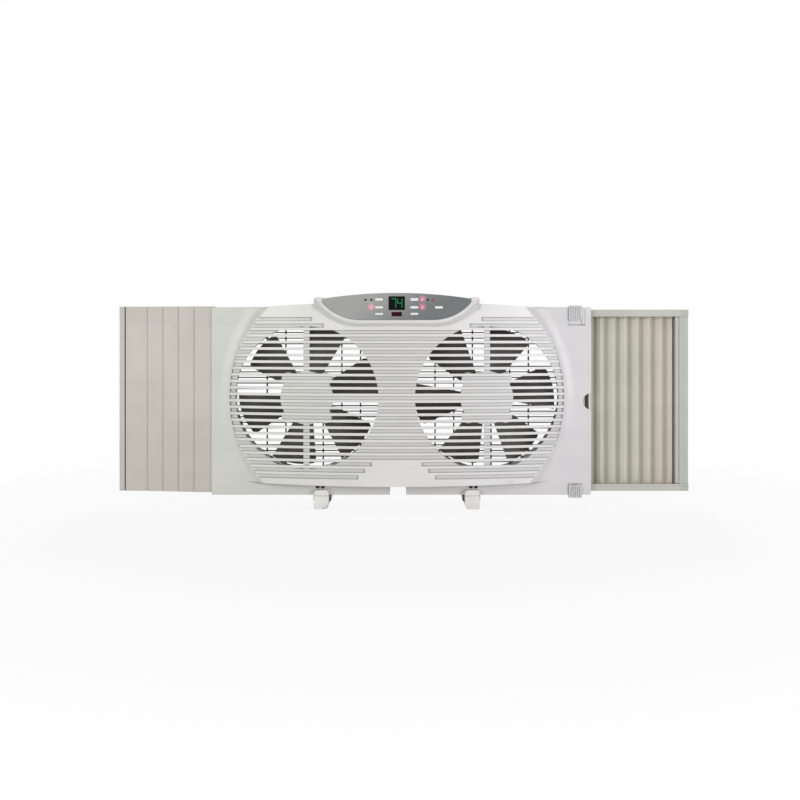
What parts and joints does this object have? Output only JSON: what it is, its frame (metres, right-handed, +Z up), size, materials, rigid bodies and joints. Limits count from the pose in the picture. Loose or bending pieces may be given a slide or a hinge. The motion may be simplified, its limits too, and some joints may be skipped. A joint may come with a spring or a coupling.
{
  "type": "twin window fan",
  "caption": "Window fan with round grilled openings side by side, a slatted slide-out panel on the left, a pleated one on the right, a control panel on top and swing-out feet below.",
  "frame": {"origin": "on the surface the feet stand on, midway between the two fan axes, in the plane where the front cover meets the rear housing", "axes": "+X to the right seen from the room, along the window; +Y outwards, away from the room; +Z up"},
  "size_m": [0.9004, 0.1986, 0.3353],
  "materials": {
    "cover": "white plastic, soft sheen",
    "housing": "white plastic, satin",
    "slats": "warm white plastic, satin",
    "curtain": "greyish cream pleated vinyl",
    "panel": "grey plastic, fine satin",
    "dark_plastic": "dark grey plastic, satin",
    "buttons": "white plastic",
    "display": "black window, glossy",
    "digits": "lit green segments",
    "sensor": "dark red window, glossy",
    "lamp_lit": "lit red indicator",
    "lamp_dark": "unlit red indicator",
    "board": "green board",
    "steel": "plain steel",
    "rubber": "black rubber",
    "locks": "light grey plastic, satin"
  },
  "bodies": {
    "housing": {"front_cover": "cover", "rear_housing": "housing", "left_duct": "dark_plastic", "right_duct": "dark_plastic", "left_rear_grille": "dark_plastic", "right_rear_grille": "dark_plastic", "left_motor": "steel", "right_motor": "steel", "motor_screws": "steel", "control_box": "housing", "control_panel": "panel", "display_window": "display", "display_digits": "digits", "sensor_window": "sensor", "circuit_board": "board", "key_switches": "dark_plastic", "lit_indicators": "lamp_lit", "dark_indicators": "lamp_dark", "cord_inlet": "dark_plastic", "housing_screws": "steel", "upper_channel": "housing", "lower_channel": "housing", "curtain_clamp": "housing", "pleated_curtain": "curtain", "foot_brackets": "buttons", "foot_pins": "steel"},
    "left_fan": {"left_blades": "dark_plastic", "left_shaft": "steel", "left_blade_nut": "dark_plastic"},
    "right_fan": {"right_blades": "dark_plastic", "right_shaft": "steel", "right_blade_nut": "dark_plastic"},
    "upper_lock_body": {"upper_lock": "locks"},
    "lower_lock_body": {"lower_lock": "locks"},
    "right_frame": {"upper_rail": "slats", "lower_rail": "slats", "right_stile": "slats"},
    "slat_1_body": {"slat_1": "slats"},
    "slat_2_body": {"slat_2": "slats"},
    "slat_3_body": {"slat_3": "slats"},
    "slat_4_body": {"slat_4": "slats"},
    "left_end": {"slat_5": "slats", "left_stile": "slats"},
    "left_foot_body": {"left_foot": "buttons", "left_swivel": "dark_plastic", "left_foot_pads": "rubber"},
    "right_foot_body": {"right_foot": "buttons", "right_swivel": "dark_plastic", "right_foot_pads": "rubber"},
    "button_left_top_body": {"button_left_top": "buttons"},
    "button_left_middle_body": {"button_left_middle": "buttons"},
    "button_left_bottom_body": {"button_left_bottom": "buttons"},
    "button_right_top_body": {"button_right_top": "buttons"},
    "button_right_middle_body": {"button_right_middle": "buttons"},
    "button_right_bottom_body": {"button_right_bottom": "buttons"},
    "button_far_right_body": {"button_far_right": "buttons"}
  },
  "joints": [
    {"name": "left_fan_spin", "type": "hinge", "parent": "housing", "child": "left_fan", "pos_m": [-0.139, 0.02, 0.1745], "axis": [0, 1, 0], "continuous": true},
    {"name": "right_fan_spin", "type": "hinge", "parent": "housing", "child": "right_fan", "pos_m": [0.139, 0.02, 0.1745], "axis": [0, 1, 0], "continuous": true},
    {"name": "left_expander_slide", "type": "slide", "parent": "housing", "child": "left_end", "axis": [1, 0, 0], "range_m": [0, 0.126]},
    {"name": "slat_1_slide", "type": "slide", "parent": "housing", "child": "slat_1_body", "axis": [1, 0, 0], "range_m": [0, 0.0253]},
    {"name": "slat_2_slide", "type": "slide", "parent": "housing", "child": "slat_2_body", "axis": [1, 0, 0], "range_m": [0, 0.0505]},
    {"name": "slat_3_slide", "type": "slide", "parent": "housing", "child": "slat_3_body", "axis": [1, 0, 0], "range_m": [0, 0.0757]},
    {"name": "slat_4_slide", "type": "slide", "parent": "housing", "child": "slat_4_body", "axis": [1, 0, 0], "range_m": [0, 0.1009]},
    {"name": "right_expander_slide", "type": "slide", "parent": "housing", "child": "right_frame", "axis": [-1, 0, 0], "range_m": [0, 0.12], "deforming": ["pleated_curtain"]},
    {"name": "upper_lock_slide", "type": "slide", "parent": "housing", "child": "upper_lock_body", "axis": [0, 0, -1], "range_m": [0, 0.0074]},
    {"name": "lower_lock_slide", "type": "slide", "parent": "housing", "child": "lower_lock_body", "axis": [0, 0, 1], "range_m": [0, 0.0024]},
    {"name": "left_foot_swing", "type": "hinge", "parent": "housing", "child": "left_foot_body", "pos_m": [-0.1175, 0.007, 0.014], "axis": [0, 0, 1], "range_deg": [0, 90]},
    {"name": "right_foot_swing", "type": "hinge", "parent": "housing", "child": "right_foot_body", "pos_m": [0.1175, 0.007, 0.014], "axis": [0, 0, -1], "range_deg": [0, 90]},
    {"name": "button_left_top_press", "type": "slide", "parent": "housing", "child": "button_left_top_body", "axis": [0, 1, 0], "range_m": [0, 0.0008], "stiffness_N_per_m": 800, "springref_m": -0.0006},
    {"name": "button_left_middle_press", "type": "slide", "parent": "housing", "child": "button_left_middle_body", "axis": [0, 1, 0], "range_m": [0, 0.0008], "stiffness_N_per_m": 800, "springref_m": -0.0006},
    {"name": "button_left_bottom_press", "type": "slide", "parent": "housing", "child": "button_left_bottom_body", "axis": [0, 1, 0], "range_m": [0, 0.0008], "stiffness_N_per_m": 800, "springref_m": -0.0006},
    {"name": "button_right_top_press", "type": "slide", "parent": "housing", "child": "button_right_top_body", "axis": [0, 1, 0], "range_m": [0, 0.0008], "stiffness_N_per_m": 800, "springref_m": -0.0006},
    {"name": "button_right_middle_press", "type": "slide", "parent": "housing", "child": "button_right_middle_body", "axis": [0, 1, 0], "range_m": [0, 0.0008], "stiffness_N_per_m": 800, "springref_m": -0.0006},
    {"name": "button_right_bottom_press", "type": "slide", "parent": "housing", "child": "button_right_bottom_body", "axis": [0, 1, 0], "range_m": [0, 0.0008], "stiffness_N_per_m": 800, "springref_m": -0.0006},
    {"name": "button_far_right_press", "type": "slide", "parent": "housing", "child": "button_far_right_body", "axis": [0, 1, 0], "range_m": [0, 0.0008], "stiffness_N_per_m": 800, "springref_m": -0.0006}
  ],
  "couplings": [
    {"joint": "slat_1_slide", "follows": "left_expander_slide", "ratio": 0.2},
    {"joint": "slat_2_slide", "follows": "left_expander_slide", "ratio": 0.4},
    {"joint": "slat_3_slide", "follows": "left_expander_slide", "ratio": 0.6},
    {"joint": "slat_4_slide", "follows": "left_expander_slide", "ratio": 0.8}
  ]
}
